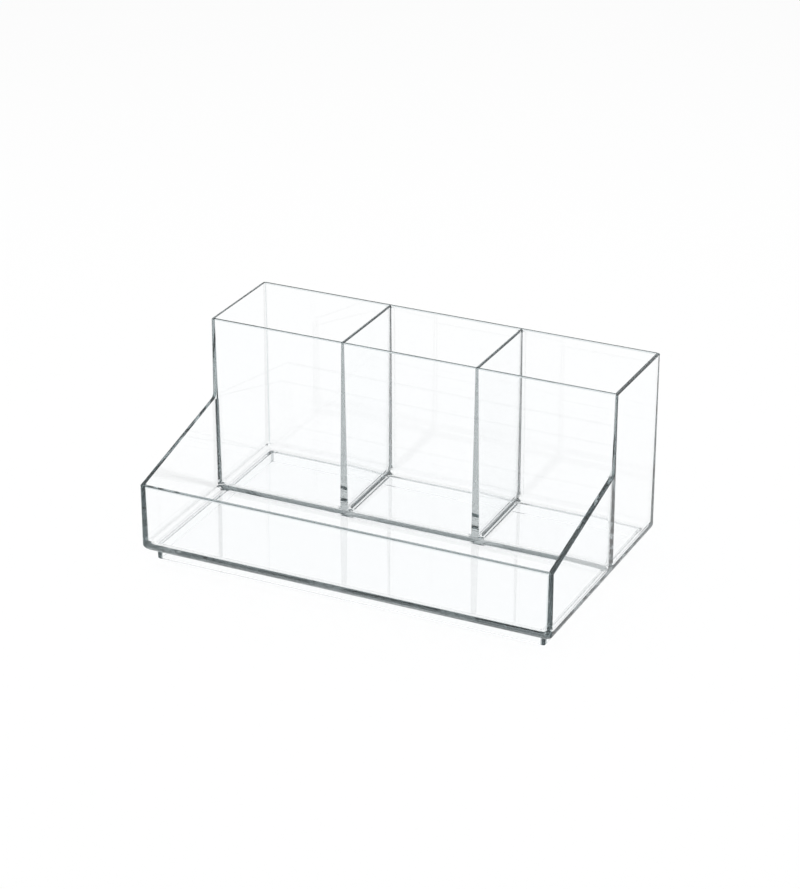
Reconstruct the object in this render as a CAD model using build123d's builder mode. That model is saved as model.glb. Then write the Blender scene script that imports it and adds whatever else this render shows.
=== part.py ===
# Clear countertop organizer for make-up: three tall open compartments in a row behind a low
# open tray. It is put together from clear plastic sheets that are bonded edge to edge: a base,
# a foot ring under it, two side panels that slope down to the tray, a low front panel, a tall
# back panel, a partition and two dividers. The lower outer edge is rounded all the way round.
# The fillets of cement along the inside joints are pieces of their own.
#
# Frame: millimetres, +X to the right, +Y to the back, +Z up. The origin is on the surface that
# the foot ring stands on, under the middle of the organizer.

import os
from math import radians, tan

from build123d import *

# Overall sizes
width = 210.0  # over the side panels
depth = 126.0  # from the front face to the back face
wall_height = 92.2  # underside of the base to the top edge of the tall walls
front_height = 34.4  # underside of the base to the top edge of the front panel
slope_height = 51.7  # underside of the base to the top of the side panels' slope
tray_depth = 73.0  # front face to the middle plane of the partition

# Sheets
base_thickness = 3.1
edge_thickness = 1.5  # of a tall sheet at its top edge
draft = 0.85  # degrees that the inner face of an outer wall leans, and each face of the other sheets

# Edges and corners
base_round = 3.5  # lower outer edge
corner_round = 1.3  # upright outer corners
edge_round = 0.7  # polished top edges
profile_round = 1.0  # outer corners of the side panels' outline
slope_round = 3.0  # inner corner where the slope meets the tall part

# Foot ring
foot_height = 5.2
foot_inset = 5.0  # outer face of the ring to the edge of the base
foot_thickness = 2.2  # where it meets the base
foot_draft = 2.0  # degrees that the ring narrows downwards on each face
foot_corner = 1.2  # outer corner radius, seen from above
foot_inner_corner = 0.5  # inner corner radius, seen from above
foot_round = 0.5  # lower edges of the ring

# Cement fillets
cement_radius = 2.2
cement_toe = 0.1  # thickness where a fillet ends on a wall
cement_dip = 0.05  # how far the round's low point lies under the floor, which ends a fillet on it
cement_corner = 3.2  # corner radius of the floor inside the fillets, seen from above
upright_radius = 1.5  # of the fillets that run up the joints
upright_under = 1.0  # how far they end under the edge of the wall

# Levels
base_z = foot_height
floor_z = base_z + base_thickness
front_z = base_z + front_height
slope_z = base_z + slope_height
top_z = base_z + wall_height
cement_z = floor_z + cement_radius - cement_dip

# Planes and the lean that neighbouring pieces share
front_y = -depth / 2
back_y = depth / 2
partition_y = front_y + tray_depth
lean = tan(radians(draft))


def inner_x(z):
    return width / 2 - edge_thickness - (top_z - z) * lean


def back_inner_y(z):
    return back_y - edge_thickness - (top_z - z) * lean


def front_inner_y(z):
    return front_y + edge_thickness + (top_z - z) * lean


def half_sheet(z):
    # Half the thickness of a sheet that leans on both faces
    return edge_thickness / 2 + (top_z - z) * lean


upright_leg = upright_radius + cement_toe  # along each wall
upright_reach = upright_leg - (cement_z - floor_z) * lean  # from the corner at floor level
compartment_width = (2 * inner_x(top_z) - 2 * edge_thickness) / 3  # at the top edge
divider_x = (compartment_width + edge_thickness) / 2

# Outlines as lists of corners
side_outline = [
    (front_y, floor_z),
    (back_y, floor_z),
    (back_y, top_z),
    (partition_y - half_sheet(top_z), top_z),
    (partition_y - half_sheet(slope_z), slope_z),
    (front_y, front_z),
]
compartment_outline = [
    (partition_y + half_sheet(floor_z), floor_z),
    (back_inner_y(floor_z), floor_z),
    (back_inner_y(top_z), top_z),
    (partition_y + half_sheet(top_z), top_z),
]


def between_sides(high_z):
    # Front view of the space between the two side panels, up to high_z
    return [
        (-inner_x(floor_z), floor_z),
        (inner_x(floor_z), floor_z),
        (inner_x(high_z), high_z),
        (-inner_x(high_z), high_z),
    ]


def finish(piece, name):
    piece.part.label = name
    export_step(piece.part, f"parts/{name}.step")


os.makedirs("parts", exist_ok=True)

# Outer shape that the base and the four outer walls are cut to
with BuildPart() as outer_shape:
    with BuildSketch(Plane.XY.offset(base_z)):
        RectangleRounded(width, depth, corner_round)
    extrude(amount=wall_height)
    fillet(outer_shape.faces().sort_by(Axis.Z)[0].edges(), base_round)

# Base
with BuildPart() as base_panel:
    with BuildSketch(Plane.XY.offset(base_z)):
        Rectangle(width, depth)
    extrude(amount=base_thickness)
    add(outer_shape.part, mode=Mode.INTERSECT)
finish(base_panel, "base_panel")

# Foot ring: a low band under the base, set in from its edge
with BuildPart() as foot_ring:
    with BuildSketch(Plane.XY.offset(foot_height)):
        RectangleRounded(width - 2 * foot_inset, depth - 2 * foot_inset, foot_corner)
        inside = foot_inset + foot_thickness
        RectangleRounded(
            width - 2 * inside,
            depth - 2 * inside,
            foot_inner_corner,
            mode=Mode.SUBTRACT,
        )
    extrude(amount=-foot_height, taper=foot_draft)
    fillet(foot_ring.faces().sort_by(Axis.Z)[0].edges(), foot_round)
finish(foot_ring, "foot_ring")


# Side panels: upright outside, leaning inside, cut to the sloping outline
def side_panel(side):
    with BuildPart() as panel:
        with BuildSketch(Plane.XZ):
            with BuildLine():
                Polyline(
                    (side * width / 2, floor_z),
                    (side * width / 2, top_z),
                    (side * inner_x(top_z), top_z),
                    (side * inner_x(floor_z), floor_z),
                    close=True,
                )
            make_face()
        extrude(amount=depth / 2, both=True)
        with BuildSketch(Plane.YZ) as outline:
            with BuildLine():
                Polyline(*side_outline, close=True)
            make_face()
            for corner in (side_outline[2], side_outline[3], side_outline[5]):
                fillet(outline.vertices().sort_by_distance(corner)[0], profile_round)
            fillet(outline.vertices().sort_by_distance(side_outline[4])[0], slope_round)
        extrude(amount=width, both=True, mode=Mode.INTERSECT)
        outer_face = panel.faces().sort_by(Axis.X)[-1 if side > 0 else 0]
        fillet(outer_face.edges().sort_by(Axis.Z)[1:], edge_round)
        add(outer_shape.part, mode=Mode.INTERSECT)
    return panel


finish(side_panel(-1), "left_side_panel")
finish(side_panel(1), "right_side_panel")


# Sheets that stand between the two side panels, from their side view
def cross_sheet(section, high_z):
    with BuildPart() as sheet:
        with BuildSketch(Plane.YZ):
            with BuildLine():
                Polyline(*section, close=True)
            make_face()
        extrude(amount=width / 2, both=True)
        with BuildSketch(Plane.XZ):
            with BuildLine():
                Polyline(*between_sides(high_z), close=True)
            make_face()
        extrude(amount=depth, both=True, mode=Mode.INTERSECT)
        fillet(sheet.edges().filter_by(Axis.X).group_by(Axis.Z)[-1], edge_round)
        add(outer_shape.part, mode=Mode.INTERSECT)
    return sheet


front_section = [
    (front_y, floor_z),
    (front_inner_y(floor_z), floor_z),
    (front_inner_y(front_z), front_z),
    (front_y, front_z),
]
back_section = [
    (back_inner_y(floor_z), floor_z),
    (back_y, floor_z),
    (back_y, top_z),
    (back_inner_y(top_z), top_z),
]
partition_section = [
    (partition_y - half_sheet(floor_z), floor_z),
    (partition_y + half_sheet(floor_z), floor_z),
    (partition_y + half_sheet(top_z), top_z),
    (partition_y - half_sheet(top_z), top_z),
]
finish(cross_sheet(front_section, front_z), "front_panel")
finish(cross_sheet(back_section, top_z), "back_panel")
finish(cross_sheet(partition_section, top_z), "partition_panel")


# Dividers between the partition and the back panel
def divider(middle_x):
    with BuildPart() as sheet:
        with BuildSketch(Plane.XZ):
            with BuildLine():
                Polyline(
                    (middle_x - half_sheet(floor_z), floor_z),
                    (middle_x + half_sheet(floor_z), floor_z),
                    (middle_x + half_sheet(top_z), top_z),
                    (middle_x - half_sheet(top_z), top_z),
                    close=True,
                )
            make_face()
        extrude(amount=depth / 2, both=True)
        with BuildSketch(Plane.YZ):
            with BuildLine():
                Polyline(*compartment_outline, close=True)
            make_face()
        extrude(amount=width, both=True, mode=Mode.INTERSECT)
        fillet(sheet.edges().filter_by(Axis.Y).group_by(Axis.Z)[-1], edge_round)
    return sheet


finish(divider(-divider_x), "left_divider")
finish(divider(divider_x), "right_divider")


# Cement fillets: a round in the joint between floor and walls, all the way round a pocket, that
# runs on up the joints at the far corners on the given sides
def cement_fillet(left_x, right_x, near_y, far_y, upright_sides, high_z):
    middle = ((left_x + right_x) / 2, (near_y + far_y) / 2)
    long_x = right_x - left_x
    long_y = far_y - near_y
    with BuildPart() as hollow:
        with BuildSketch(Plane.XY.offset(floor_z - cement_dip)):
            with Locations(middle):
                RectangleRounded(long_x - 2 * cement_toe, long_y - 2 * cement_toe, cement_corner)
        extrude(amount=2 * cement_radius)
        fillet(hollow.faces().sort_by(Axis.Z)[0].edges(), cement_radius)
    with BuildPart() as ring:
        with BuildSketch(Plane.XY.offset(floor_z)):
            with Locations(middle):
                Rectangle(long_x, long_y)
        extrude(amount=cement_z - floor_z, taper=-draft)
        add(hollow.part, mode=Mode.SUBTRACT)
        for side in upright_sides:
            corner_x = right_x if side > 0 else left_x
            with BuildSketch(Plane.XY.offset(cement_z)):
                with Locations((corner_x - side * upright_reach, far_y - upright_reach)):
                    edge = Align.MIN if side > 0 else Align.MAX
                    Rectangle(upright_leg, upright_leg, align=(edge, Align.MIN))
                    Circle(upright_radius, mode=Mode.SUBTRACT)
            extrude(amount=high_z - upright_under - cement_z, dir=(side * lean, lean, 1))
    return ring


side_x = inner_x(floor_z)
divider_left = divider_x - half_sheet(floor_z)
divider_right = divider_x + half_sheet(floor_z)
tray_span = (front_inner_y(floor_z), partition_y - half_sheet(floor_z))
box_span = (partition_y + half_sheet(floor_z), back_inner_y(floor_z))

finish(cement_fillet(-side_x, side_x, *tray_span, (-1, 1), slope_z), "tray_cement_fillet")
finish(cement_fillet(-side_x, -divider_right, *box_span, (1,), top_z), "left_cement_fillet")
finish(cement_fillet(-divider_left, divider_left, *box_span, (-1, 1), top_z), "middle_cement_fillet")
finish(cement_fillet(divider_right, side_x, *box_span, (-1,), top_z), "right_cement_fillet")
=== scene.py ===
import math

import bmesh
import bpy
from mathutils import Matrix, Vector
from mathutils.bvhtree import BVHTree


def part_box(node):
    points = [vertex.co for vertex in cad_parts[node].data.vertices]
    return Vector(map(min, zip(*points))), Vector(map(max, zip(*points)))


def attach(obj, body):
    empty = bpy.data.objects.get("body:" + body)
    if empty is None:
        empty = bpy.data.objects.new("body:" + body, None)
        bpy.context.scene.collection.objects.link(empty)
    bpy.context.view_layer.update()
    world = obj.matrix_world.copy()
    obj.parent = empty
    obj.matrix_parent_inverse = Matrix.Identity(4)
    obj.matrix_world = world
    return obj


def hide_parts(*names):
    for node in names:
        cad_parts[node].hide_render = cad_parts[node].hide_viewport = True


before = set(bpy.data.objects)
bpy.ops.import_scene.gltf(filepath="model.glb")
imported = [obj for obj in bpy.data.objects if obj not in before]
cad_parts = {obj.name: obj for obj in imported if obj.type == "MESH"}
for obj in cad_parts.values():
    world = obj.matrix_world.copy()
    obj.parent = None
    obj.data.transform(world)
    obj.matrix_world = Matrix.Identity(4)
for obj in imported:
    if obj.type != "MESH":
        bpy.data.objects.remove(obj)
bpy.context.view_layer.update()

mm = 0.001
tiny = 1e-7  # metres; points nearer than this are one
print("frame loaded:", len(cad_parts), "nodes")

# Faces and levels that neighbouring sheets share, read from the frame
baseLow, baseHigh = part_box("base_panel")
sideLow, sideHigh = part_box("right_side_panel")
frontLow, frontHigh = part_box("front_panel")
backLow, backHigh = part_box("back_panel")
partLow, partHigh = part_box("partition_panel")
baseZ, floorZ = baseLow.z, baseHigh.z
frontZ, topZ = frontHigh.z, backHigh.z
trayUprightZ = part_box("tray_cement_fillet")[1].z  # where the upright fillets end
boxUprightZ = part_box("middle_cement_fillet")[1].z

# How the sheets lean and how their edges are rounded
shell = {
    "lean": math.tan(math.radians(0.85)),
    "lowRound": 3.5 * mm,  # lower outer edge
    "cornerRound": 1.3 * mm,  # upright outer corners
    "rimRound": 0.7 * mm,  # top edges
    "rimSteps": 7,
    "lowSteps": 14,
    "lowWallSteps": 4,  # of the part of the lower round that a wall carries
    "cornerSteps": 10,
    "cornerSpread": 0.6,  # how much the base's corners open out towards its underside
    "smallEdge": 0.45 * mm,  # narrower faces than this belong to a round
    "smoothTurn": 0.85,  # cosine; faces that turn less than this run smoothly on
}


def leaningFace(foot, way):
    # a face that stands at foot on the floor and leans the given way, by height
    return lambda z: foot + way * (z - floorZ) * shell["lean"]


sideInner = leaningFace(sideLow.x, 1)
backInner = leaningFace(backLow.y, 1)
frontInner = leaningFace(frontHigh.y, -1)
partFront = leaningFace(partLow.y, 1)
partBack = leaningFace(partHigh.y, -1)


def outerReach(reach, z):
    # an outer face at height z, drawn in where the lower edge is rounded
    radius = shell["lowRound"]
    drop = baseZ + radius - z
    if drop <= 0:
        return reach
    return reach - radius + math.sqrt(radius * radius - drop * drop)


def arc(middleU, middleZ, radius, startDeg, stopDeg, steps):
    points = []
    for k in range(steps + 1):
        angle = math.radians(startDeg + (stopDeg - startDeg) * k / steps)
        points.append((middleU + radius * math.cos(angle), middleZ + radius * math.sin(angle)))
    return points


def rim(nearFace, farFace, high):
    # the rounded top edge of a sheet, from its near face over to its far face
    radius = shell["rimRound"]
    low = high - radius
    near = arc(nearFace(low) + radius, low, radius, 180, 90, shell["rimSteps"])
    far = arc(farFace(low) - radius, low, radius, 90, 0, shell["rimSteps"])
    return near + far


def lowCurve(reach):
    # the part of the rounded lower edge that an outer wall carries, from the floor up
    steps = shell["lowWallSteps"]
    high = baseZ + shell["lowRound"]
    levels = [floorZ + (high - floorZ) * k / steps for k in range(steps + 1)]
    return [(outerReach(reach, z), z) for z in levels]


def prism(section, low, high, place):
    # a sheet: its section, drawn out between two ends that may lean
    bm = bmesh.new()
    first = [bm.verts.new(place(u, low(z), z)) for u, z in section]
    last = [bm.verts.new(place(u, high(z), z)) for u, z in section]
    count = len(section)
    bm.faces.new(first)
    bm.faces.new(list(reversed(last)))
    for k in range(count):
        n = (k + 1) % count
        bm.faces.new((first[n], first[k], last[k], last[n]))
    return bm


def ringLoop(bm, halfX, halfY, radius, z, middle=(0.0, 0.0)):
    # a rounded rectangle seen from above, always with the same number of points
    steps = shell["cornerSteps"]
    loop = []
    for number, (sx, sy) in enumerate(((1, 1), (-1, 1), (-1, -1), (1, -1))):
        for k in range(steps + 1):
            angle = math.radians(90 * number + 90 * k / steps)
            x = middle[0] + sx * (halfX - radius) + radius * math.cos(angle)
            y = middle[1] + sy * (halfY - radius) + radius * math.sin(angle)
            loop.append(bm.verts.new((x, y, z)))
    return loop


def skin(bm, loops, close=False):
    pairs = list(zip(loops, loops[1:]))
    if close:
        pairs.append((loops[-1], loops[0]))
    for lower, upper in pairs:
        count = len(lower)
        for k in range(count):
            n = (k + 1) % count
            bm.faces.new((lower[k], lower[n], upper[n], upper[k]))


def cut(bm, point, normal):
    # marks a line all round a piece, so that a joint can end on it
    everything = bm.verts[:] + bm.edges[:] + bm.faces[:]
    bmesh.ops.bisect_plane(bm, geom=everything, dist=tiny, plane_co=point, plane_no=normal)


def isRound(face):
    return len(face.verts) == 4 and min(e.calc_length() for e in face.edges) < shell["smallEdge"]


pieces = {}


def keep(name, cadNode, slot, bm):
    bmesh.ops.remove_doubles(bm, verts=bm.verts, dist=tiny)
    bmesh.ops.recalc_face_normals(bm, faces=bm.faces)
    bm.normal_update()
    pieces[name] = {"node": cadNode, "slot": slot, "bm": bm}


# Foot ring: a low band with a flat top, leaning in a little downwards
footLow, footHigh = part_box("foot_ring")
foot = {
    "thickness": 2.2 * mm,
    "lean": math.tan(math.radians(2.0)),
    "corner": 1.2 * mm,
    "innerCorner": 0.5 * mm,
    "round": 0.5 * mm,
    "steps": 5,
}


def footLoops(bm, level, draw):
    # one loop round the outside and one round the inside of the ring, each drawn in by draw
    drawn = (footHigh.z - level) * foot["lean"] + draw
    outside = ringLoop(bm, footHigh.x - drawn, footHigh.y - drawn, foot["corner"] - drawn, level)
    hollow = foot["thickness"] - drawn
    inside = ringLoop(bm, footHigh.x - hollow, footHigh.y - hollow, foot["innerCorner"] + drawn, level)
    return outside, inside


bm = bmesh.new()
outsides, insides = [], []
radius = foot["round"]
levels = [(footHigh.z, 0.0)]
for k in range(foot["steps"] + 1):
    turn = math.radians(90 * k / foot["steps"])
    levels.append((footLow.z + radius * (1 - math.sin(turn)), radius * (1 - math.cos(turn))))
for level, draw in levels:
    outside, inside = footLoops(bm, level, draw)
    outsides.append(outside)
    insides.append(inside)
skin(bm, outsides + insides[::-1], close=True)
for side in (-1, 1):
    cut(bm, (side * (footHigh.x - foot["thickness"]), 0, 0), (1, 0, 0))
    cut(bm, (0, side * (footHigh.y - foot["thickness"]), 0), (0, 1, 0))
keep("footRing", "foot_ring", "clear_sheet", bm)
print("foot ring made")

# Pockets between the walls: the tray and the three compartments
dividerBoxes = [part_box("left_divider"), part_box("right_divider")]
pockets = {
    "tray": (-sideLow.x, sideLow.x, frontHigh.y, partLow.y),
    "left": (-sideLow.x, dividerBoxes[0][0].x, partHigh.y, backLow.y),
    "middle": (dividerBoxes[0][1].x, dividerBoxes[1][0].x, partHigh.y, backLow.y),
    "right": (dividerBoxes[1][1].x, sideLow.x, partHigh.y, backLow.y),
}
bead = {
    "radius": 2.2 * mm,
    "height": 2.15 * mm,
    "toe": 0.1 * mm,
    "corner": 3.2 * mm,
    "sharp": 0.05 * mm,
    "steps": 12,
    "upright": 1.5 * mm,  # radius of the fillets that run up the joints
    "uprightSteps": 8,
}
beadZ = floorZ + bead["height"]
uprightLeg = bead["upright"] + bead["toe"]
uprights = {  # the far corners that have an upright fillet, and where it ends
    "tray": ((-1, 1), trayUprightZ),
    "left": ((1,), boxUprightZ),
    "middle": ((-1, 1), boxUprightZ),
    "right": ((-1,), boxUprightZ),
}


def pocketLoop(bm, pocket, draw, radius, z):
    lowX, highX, lowY, highY = pocket
    middle = ((lowX + highX) / 2, (lowY + highY) / 2)
    return ringLoop(bm, (highX - lowX) / 2 - draw, (highY - lowY) / 2 - draw, radius, z, middle)


def uprightStrip(bm, cornerX, cornerY, side, high):
    # a hollow-faced strip up a far corner, that leans with both walls
    leg = uprightLeg
    section = [(0.0, 0.0), (leg, 0.0)]
    section += arc(leg, leg, bead["upright"], 270, 180, bead["uprightSteps"])
    section += [(0.0, leg)]
    ends = []
    for z in (beadZ, high):
        lean = (z - floorZ) * shell["lean"]
        spots = [(cornerX + side * (lean - u), cornerY + lean - v, z) for u, v in section]
        ends.append([bm.verts.new(spot) for spot in spots])
    bm.faces.new(ends[0])
    bm.faces.new(ends[1])
    skin(bm, ends)


# Cement fillets: a hollow round in the corner between floor and walls
for label, pocket in pockets.items():
    bm = bmesh.new()
    height = bead["height"]
    spread = -height * shell["lean"]
    loops = [
        pocketLoop(bm, pocket, 0.0, bead["sharp"], floorZ),
        pocketLoop(bm, pocket, spread, bead["sharp"], beadZ),
    ]
    for k in range(bead["steps"] + 1):
        turn = math.radians(90 * k / bead["steps"])
        draw = bead["toe"] + bead["radius"] * (1 - math.cos(turn))
        z = beadZ - height * math.sin(turn)
        loops.append(pocketLoop(bm, pocket, draw, bead["corner"] + bead["toe"] - draw, z))
    skin(bm, loops, close=True)
    sides, high = uprights[label]
    for side in sides:
        uprightStrip(bm, pocket[1] if side > 0 else pocket[0], pocket[3], side, high)
    keep(label + "CementFillet", label + "_cement_fillet", "clear_cement", bm)
print("cement fillets made")

# Base: flat underside, rounded lower edge, and four pocket floors on top
bm = bmesh.new()
radius = shell["lowRound"]
outer, inner = footLoops(bm, footHigh.z, 0.0)
loops = [inner, outer]
stop = math.acos((baseZ + radius - floorZ) / radius)
for k in range(shell["lowSteps"] + 1):
    turn = stop * k / shell["lowSteps"]
    draw = radius * (1 - math.sin(turn))
    corner = shell["cornerRound"] + shell["cornerSpread"] * draw
    z = baseZ + radius * (1 - math.cos(turn))
    loops.append(ringLoop(bm, sideHigh.x - draw, backHigh.y - draw, corner, z))
bm.faces.new(inner)
skin(bm, loops)
edges = [bm.edges.get((a, b)) for a, b in zip(loops[-1], loops[-1][1:] + loops[-1][:1])]
for pocket in pockets.values():
    draw = bead["toe"] + bead["radius"]
    loop = pocketLoop(bm, pocket, draw, bead["corner"] - bead["radius"], floorZ)
    bm.faces.new(loop)
    edges += [bm.edges.get((a, b)) for a, b in zip(loop, loop[1:] + loop[:1])]
bmesh.ops.triangle_fill(bm, use_beauty=True, use_dissolve=False, edges=edges, normal=(0, 0, 1))
keep("basePanel", "base_panel", "clear_sheet", bm)
print("base made")


# Sheets that run across, between the two side panels
def across(u, end, z):
    return (end, u, z)


def crossSheet(name, cadNode, section, cuts):
    bm = prism(section, leaningFace(-sideLow.x, -1), sideInner, across)
    for point, normal in cuts:
        cut(bm, point, normal)
    keep(name, cadNode, "clear_sheet", bm)


def leaningCut(axis, foot, way):
    # a plane across the axis that stands at foot on the floor and leans the given way
    slope = -way * shell["lean"]
    if axis == "x":
        return (foot, 0, floorZ), (1, 0, slope)
    return (0, foot, floorZ), (0, 1, slope)


def levelCut(z):
    return (0, 0, z), (0, 0, 1)


dividerCuts, stripCuts = [], []
for low, high in dividerBoxes:
    dividerCuts += [leaningCut("x", low.x, 1), leaningCut("x", high.x, -1)]
    stripCuts += [leaningCut("x", low.x - uprightLeg, 1), leaningCut("x", high.x + uprightLeg, -1)]
endCuts = [leaningCut("x", side * (sideLow.x - uprightLeg), side) for side in (-1, 1)]
beadCut, trayCut, boxCut = levelCut(beadZ), levelCut(trayUprightZ), levelCut(boxUprightZ)

frontSection = [(-y, z) for y, z in lowCurve(-frontLow.y)]
frontSection += rim(lambda z: frontLow.y, frontInner, frontZ)
frontSection += [(frontInner(floorZ), floorZ)]
crossSheet("frontPanel", "front_panel", frontSection, [beadCut])

backSection = [(backInner(floorZ), floorZ)]
backSection += rim(backInner, lambda z: backHigh.y, topZ)
backSection += lowCurve(backHigh.y)[::-1]
crossSheet("backPanel", "back_panel", backSection, [beadCut, boxCut] + dividerCuts + stripCuts)

partSection = [(partFront(floorZ), floorZ)]
partSection += rim(partFront, partBack, topZ)
partSection += [(partBack(floorZ), floorZ)]
crossSheet("partitionPanel", "partition_panel", partSection, [beadCut, trayCut] + dividerCuts + endCuts)


# Dividers, from the partition to the back panel
def along(u, end, z):
    return (u, end, z)


for label, (low, high) in zip(("left", "right"), dividerBoxes):
    nearFace, farFace = leaningFace(low.x, 1), leaningFace(high.x, -1)
    section = [(nearFace(floorZ), floorZ)]
    section += rim(nearFace, farFace, topZ)
    section += [(farFace(floorZ), floorZ)]
    bm = prism(section, partBack, backInner, along)
    for point, normal in (beadCut, boxCut, leaningCut("y", backLow.y - uprightLeg, 1)):
        cut(bm, point, normal)
    keep(label + "Divider", label + "_divider", "clear_sheet", bm)
print("cross sheets and dividers made")

# Side panels: the sloping outline, rounded towards the outside
panel = {
    "slopeZ": 56.9 * mm,
    "round": 1.0 * mm,  # corners of the outline
    "hollow": 3.0 * mm,  # where the slope meets the tall part
    "steps": 8,
    "turn": 0.95,  # faces that look less to the side than this belong to the edge
    "rear": 0.5,  # faces that look more to the back than this are its back edge
}


def roundedOutline(corners):
    # points of an outline with rounded corners, each with the direction out of the outline
    points = []
    count = len(corners)
    for k, (corner, radius) in enumerate(corners):
        here = Vector(corner)
        before = (Vector(corners[k - 1][0]) - here).normalized()
        after = (Vector(corners[(k + 1) % count][0]) - here).normalized()
        if radius == 0:
            points.append((here, None))
            continue
        half = before.angle(after) / 2
        middle = here + (before + after).normalized() * radius / math.sin(half)
        start = here + before * radius / math.tan(half) - middle
        stop = here + after * radius / math.tan(half) - middle
        hollow = (-before.x) * after.y - (-before.y) * after.x < 0
        for step in range(panel["steps"] + 1):
            way = start.lerp(stop, step / panel["steps"]).normalized()
            points.append((middle + way * radius, -way if hollow else way))
    return points


outline = roundedOutline([
    ((-backHigh.y, floorZ), 0),
    ((backHigh.y, floorZ), 0),
    ((backHigh.y, topZ), panel["round"]),
    ((partFront(topZ), topZ), panel["round"]),
    ((partFront(panel["slopeZ"]), panel["slopeZ"]), panel["hollow"]),
    ((-backHigh.y, frontZ), panel["round"]),
])
panelCuts = [
    beadCut,
    trayCut,
    leaningCut("y", frontHigh.y, -1),
    leaningCut("y", backLow.y, 1),
    leaningCut("y", partLow.y, 1),
    leaningCut("y", partHigh.y, -1),
    leaningCut("y", partLow.y - uprightLeg, 1),
]
panelCuts += [levelCut(z) for reach, z in lowCurve(0)[1:]]

for label, side in (("left", -1), ("right", 1)):
    bm = bmesh.new()
    edge = shell["rimRound"]
    turns = [math.radians(90 * k / shell["rimSteps"]) for k in range(shell["rimSteps"] + 1)]
    loops = [[bm.verts.new((side * sideInner(point.y), *point)) for point, way in outline]]
    for turn in turns:
        loop = []
        for point, way in outline:
            if way is None:
                way = Vector((math.copysign(1.0, point.x), 0.0))
            upright = way.x ** 2 if abs(point.x) > backHigh.y - panel["round"] else 0.0
            radius = edge + (shell["cornerRound"] - edge) * upright
            y, z = point - way * radius * (1 - math.cos(turn))
            loop.append(bm.verts.new((side * (sideHigh.x - radius + radius * math.sin(turn)), y, z)))
        loops.append(loop)
    skin(bm, loops)
    bm.faces.new(loops[0])
    bm.faces.new(loops[-1])
    for point, normal in panelCuts:
        cut(bm, point, normal)
    for vert in bm.verts:
        x, y, z = vert.co
        limit = outerReach(sideHigh.x, z)
        if abs(x) > limit - (sideHigh.x - limit):
            vert.co.x = math.copysign(limit - (sideHigh.x - abs(x)), x)
        vert.co.y = math.copysign(min(abs(y), outerReach(backHigh.y, z)), y)
    keep(label + "SidePanel", label + "_side_panel", "clear_sheet", bm)
print("side panels made")

# Clear plastic: it loses a little light on the way, so long ways through it look dark
clear = {
    "ior": 1.55,
    "loss": (10.0, 9.2, 9.1),  # per metre, in red, green and blue
    "free": 0.004,  # metres of the way that cost nothing, so that flat sheets stay bright
    "mirrored": 0.999,  # a face that sends back more than this sends back all
    "bounce": 0.0052,  # metres of way that a bounce inside costs
    "longest": 0.25,  # metres
    "tint": (0.996, 0.9985, 1.0),  # of a flat face
    "edge": (0.8, 0.835, 0.84),  # painted shade on the narrow faces round a sheet, so that they look grey
    "corner": (0.5, 0.53, 0.54),  # painted shade on the foot ring's corners, so that they look dark
    "shade": (0.992, 0.994, 0.995),  # light that gets through one face into the shadow
    "waveScale": 38.0,
    "waveDetail": 2.0,
    "waveHeight": 0.005 * mm,
    "smearScale": 160.0,
    "smearDetail": 4.0,
    "smearFrom": 0.45,  # of the pattern, where the haze starts and where it is full
    "smearFull": 0.75,
    "haze": 0.012,
}


def node(tree, kind, **values):
    made = tree.nodes.new(kind)
    for key, value in values.items():
        setattr(made, key, value)
    return made


def calc(tree, operation, first, second=None):
    made = node(tree, "ShaderNodeMath", operation=operation)
    for socket, value in zip(made.inputs, (first, second)):
        if value is None:
            continue
        if isinstance(value, (int, float)):
            socket.default_value = value
        else:
            tree.links.new(value, socket)
    return made.outputs[0]


# tint is the plastic's own tint, or a painted shade for the edge and foot ring corner glass
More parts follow.
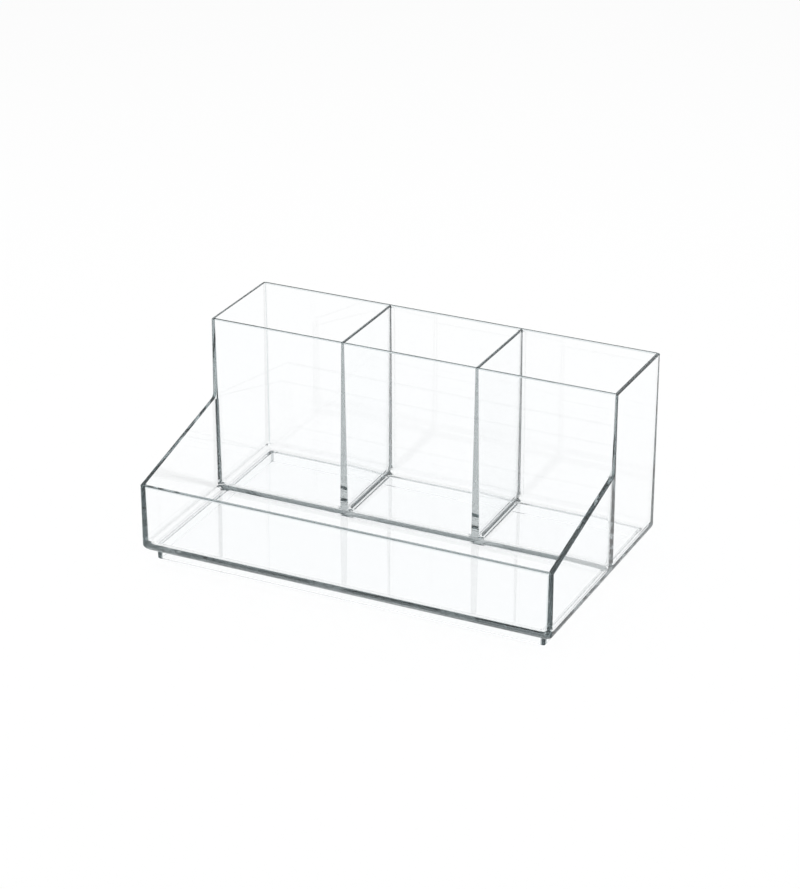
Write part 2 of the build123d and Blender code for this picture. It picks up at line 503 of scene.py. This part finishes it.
def clearPlastic(name, tint):
    material = bpy.data.materials.new(name)
    material.use_nodes = True
    tree = material.node_tree
    tree.nodes.clear()
    link = tree.links.new
    out = node(tree, "ShaderNodeOutputMaterial")
    path = node(tree, "ShaderNodeLightPath")
    facing = node(tree, "ShaderNodeNewGeometry")
    place = node(tree, "ShaderNodeTexCoord")

    # light lost on the way to this face from inside: the short way straight through a sheet
    # is free, but a way that ends in a bounce back into the sheet counts whole, and the bounce too
    gloss = node(tree, "ShaderNodeFresnel")
    gloss.inputs["IOR"].default_value = clear["ior"]
    bounced = calc(tree, "GREATER_THAN", gloss.outputs[0], clear["mirrored"])
    extra = calc(tree, "MULTIPLY", bounced, clear["free"] + clear["bounce"])
    way = calc(tree, "SUBTRACT", path.outputs["Ray Length"], clear["free"])
    way = calc(tree, "MAXIMUM", calc(tree, "ADD", way, extra), 0.0)
    way = calc(tree, "MINIMUM", way, clear["longest"])
    lost = node(tree, "ShaderNodeCombineColor")
    for channel, loss in enumerate(clear["loss"]):
        passed = calc(tree, "EXPONENT", calc(tree, "MULTIPLY", way, -loss))
        link(calc(tree, "MULTIPLY", passed, tint[channel]), lost.inputs[channel])
    colour = node(tree, "ShaderNodeMix", data_type="RGBA")
    colour.inputs[6].default_value = tint + (1.0,)
    link(facing.outputs["Backfacing"], colour.inputs[0])
    link(lost.outputs[0], colour.inputs[7])

    # slow waves in the sheets, and a breath of haze from handling
    wave = node(tree, "ShaderNodeTexNoise")
    wave.inputs["Scale"].default_value = clear["waveScale"]
    wave.inputs["Detail"].default_value = clear["waveDetail"]
    link(place.outputs["Object"], wave.inputs["Vector"])
    bump = node(tree, "ShaderNodeBump")
    bump.inputs["Strength"].default_value = 1.0
    bump.inputs["Distance"].default_value = clear["waveHeight"]
    link(wave.outputs["Fac"], bump.inputs["Height"])
    smear = node(tree, "ShaderNodeTexNoise")
    smear.inputs["Scale"].default_value = clear["smearScale"]
    smear.inputs["Detail"].default_value = clear["smearDetail"]
    link(place.outputs["Object"], smear.inputs["Vector"])
    ramp = node(tree, "ShaderNodeMapRange")
    ramp.inputs["From Min"].default_value = clear["smearFrom"]
    ramp.inputs["From Max"].default_value = clear["smearFull"]
    ramp.inputs["To Max"].default_value = clear["haze"]
    link(smear.outputs["Fac"], ramp.inputs["Value"])

    glass = node(tree, "ShaderNodeBsdfGlass")
    glass.inputs["IOR"].default_value = clear["ior"]
    link(colour.outputs[2], glass.inputs["Color"])
    link(ramp.outputs[0], glass.inputs["Roughness"])
    link(bump.outputs[0], glass.inputs["Normal"])
    pale = node(tree, "ShaderNodeBsdfTransparent")
    pale.inputs[0].default_value = clear["shade"] + (1.0,)
    mix = node(tree, "ShaderNodeMixShader")
    soft = calc(tree, "MAXIMUM", path.outputs["Is Shadow Ray"], path.outputs["Is Diffuse Ray"])
    link(soft, mix.inputs[0])
    link(glass.outputs[0], mix.inputs[1])
    link(pale.outputs[0], mix.inputs[2])
    link(mix.outputs[0], out.inputs["Surface"])
    return material


def bondedFace(name):
    # where two pieces are bonded the light passes as if they were one
    material = bpy.data.materials.new(name)
    material.use_nodes = True
    tree = material.node_tree
    tree.nodes.clear()
    through = node(tree, "ShaderNodeBsdfTransparent")
    out = node(tree, "ShaderNodeOutputMaterial")
    tree.links.new(through.outputs[0], out.inputs["Surface"])
    return material


materials = {
    "clear_sheet": clearPlastic("clearSheet", clear["tint"]),
    "clear_cement": clearPlastic("clearCement", clear["tint"]),
}
bonded = bondedFace("bondedFace")
# glass carrying a painted shade, for the narrow faces round the sheets
paintedEdgeShade = clearPlastic("paintedEdgeShadeGlass", clear["edge"])
# glass carrying a darker painted shade, for the foot ring's corners
paintedFootCornerShade = clearPlastic("paintedFootCornerShade", clear["corner"])

# Faces that lie on another piece are the bonded ones
trees = {name: BVHTree.FromBMesh(piece["bm"]) for name, piece in pieces.items()}
bond = {
    "step": 0.02 * mm,  # how far in front of a face the other piece is looked for
    "search": 0.06 * mm,  # how near it has to be
    "inside": 0.006 * mm,  # how deep in it that place has to lie
}


def touches(name, point):
    for other, tree in trees.items():
        if other == name:
            continue
        spot, normal, index, distance = tree.find_nearest(point, bond["search"])
        if spot is not None and (point - spot).dot(normal) < -bond["inside"]:
            return True
    return False


def isFootCorner(name, face):
    # these corner faces get a painted shade
    if name != "footRing":
        return False
    middle = face.calc_center_median()
    inside = foot["thickness"]
    return abs(middle.x) > footHigh.x - inside and abs(middle.y) > footHigh.y - inside


def isEdge(name, face):
    # the narrow faces along the top of a cross sheet and round a side panel, apart from the front
    # and top edges of its tall part
    # these faces get the painted edge shade
    middle = face.calc_center_median()
    if name.endswith("SidePanel"):
        rear = face.normal.y > panel["rear"]
        tall = middle.z > panel["slopeZ"] + panel["hollow"]
        return abs(face.normal.x) < panel["turn"] and (rear or not tall)
    if name in ("frontPanel", "backPanel", "partitionPanel"):
        high = frontZ if name == "frontPanel" else topZ
        return middle.z > high - shell["rimRound"]
    return False


def cornerNormals(bm):
    # flat faces stay flat, and rounds run smoothly into them
    flat = {face.index: not isRound(face) for face in bm.faces}
    normals = []
    for face in bm.faces:
        for loop in face.loops:
            if flat[face.index]:
                normals.append(face.normal)
                continue
            near = [f for f in loop.vert.link_faces if f.normal.dot(face.normal) > shell["smoothTurn"]]
            level = [f for f in near if flat[f.index]]
            total = Vector()
            for other in level or near:
                total += other.normal
            normals.append(total.normalized())
    return normals


bondCount = 0
for name, piece in pieces.items():
    bm = piece["bm"]
    bm.faces.index_update()
    largest = {}
    for corners in bm.calc_loop_triangles():
        face = corners[0].face
        a, b, c = (corner.vert.co for corner in corners)
        area = (b - a).cross(c - a).length
        if area > largest.get(face.index, (0.0, None))[0]:
            largest[face.index] = (area, (a + b + c) / 3)
    for face in bm.faces:
        face.smooth = True
        point = largest[face.index][1] + face.normal * bond["step"]
        if touches(name, point):
            face.material_index = 1
            bondCount += 1
        # narrow edge faces get glass with a painted shade
        elif isEdge(name, face):
            face.material_index = 2
        # the foot ring's corners get glass with a painted shade
        elif isFootCorner(name, face):
            face.material_index = 3
    mesh = bpy.data.meshes.new(name)
    normals = cornerNormals(bm)
    bm.to_mesh(mesh)
    mesh.normals_split_custom_set(normals)
    mesh.materials.append(materials[piece["slot"]])
    mesh.materials.append(bonded)
    mesh.materials.append(paintedEdgeShade)
    mesh.materials.append(paintedFootCornerShade)
    made = bpy.data.objects.new(name, mesh)
    bpy.context.scene.collection.objects.link(made)
    openEdges = sum(1 for e in bm.edges if len(e.link_faces) != 2)
    print(name, "faces", len(bm.faces), "open edges", openEdges)
    bm.free()
    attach(made, "root")
    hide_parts(piece["node"])
print("pieces placed, bonded faces:", bondCount)

# Floor and light
stage = {
    "floor": 0.9,
    "floorGap": 0.02 * mm,  # the floor lies this much under the foot ring, so no two faces coincide
    "floorRadius": 14.0,
    "floorSides": 96,
    "floorRough": 0.9,
    "world": 1.0,
    "lamp": 0.14,  # its light on the floor as a share of the world's
    "lampSize": 1.6,  # metres, as the lamp's height
    "lampHeight": 1.8,
    "bounces": 64,
    "clearBounces": 96,
}
scene = bpy.context.scene
floorMesh = bpy.data.meshes.new("floor")
bm = bmesh.new()
bmesh.ops.create_circle(bm, cap_ends=True, segments=stage["floorSides"], radius=stage["floorRadius"])
bm.to_mesh(floorMesh)
bm.free()
floor = bpy.data.objects.new("floor", floorMesh)
floor.location.z = footLow.z - stage["floorGap"]
scene.collection.objects.link(floor)
floorMaterial = bpy.data.materials.new("paleFloor")
floorMaterial.use_nodes = True
paint = floorMaterial.node_tree.nodes["Principled BSDF"]
paint.inputs["Base Color"].default_value = (stage["floor"],) * 3 + (1.0,)
paint.inputs["Roughness"].default_value = stage["floorRough"]
paint.inputs["Specular IOR Level"].default_value = 0.0
floorMesh.materials.append(floorMaterial)

world = bpy.data.worlds.new("studio")
scene.world = world
world.use_nodes = True
sky = world.node_tree.nodes["Background"]
sky.inputs[0].default_value = (1.0, 1.0, 1.0, 1.0)
sky.inputs[1].default_value = stage["world"]

lampData = bpy.data.lights.new("softbox", "AREA")
lampData.shape = "DISK"
lampData.size = stage["lampSize"]
lampData.energy = stage["lamp"] * (math.pi * stage["lampHeight"]) ** 2
lamp = bpy.data.objects.new("softbox", lampData)
lamp.location = (0.0, 0.0, stage["lampHeight"])
scene.collection.objects.link(lamp)

# Camera, fitted to the corners of the organizer in the photograph
view = {
    "az": 25.66,
    "el": 24.83,
    "away": 1.37806,  # metres, as the next three
    "rise": 0.04355,
    "right": 0.00014,
    "low": 0.0074,
    "lens": 117.07,  # millimetres
    "near": 0.01,
}
az, el = math.radians(view["az"]), math.radians(view["el"])
back = Vector((math.sin(az) * math.cos(el), -math.cos(az) * math.cos(el), math.sin(el)))
right = Vector((math.cos(az), math.sin(az), 0.0))
up = back.cross(right)
spot = Vector((0.0, 0.0, view["low"])) + back * view["away"] + up * view["rise"] + right * view["right"]
cameraData = bpy.data.cameras.new("camera")
cameraData.lens = view["lens"]
cameraData.clip_start = view["near"]
camera = bpy.data.objects.new("camera", cameraData)
axes = zip(right, up, back, spot)
camera.matrix_world = Matrix([list(row) for row in axes] + [[0.0, 0.0, 0.0, 1.0]])
scene.collection.objects.link(camera)
scene.camera = camera
scene.view_settings.view_transform = "Standard"
scene.cycles.max_bounces = stage["bounces"]
scene.cycles.transmission_bounces = stage["bounces"]
scene.cycles.glossy_bounces = stage["bounces"]
scene.cycles.transparent_max_bounces = stage["clearBounces"]
scene.cycles.caustics_reflective = False
scene.cycles.caustics_refractive = False
print("floor, light and camera set")
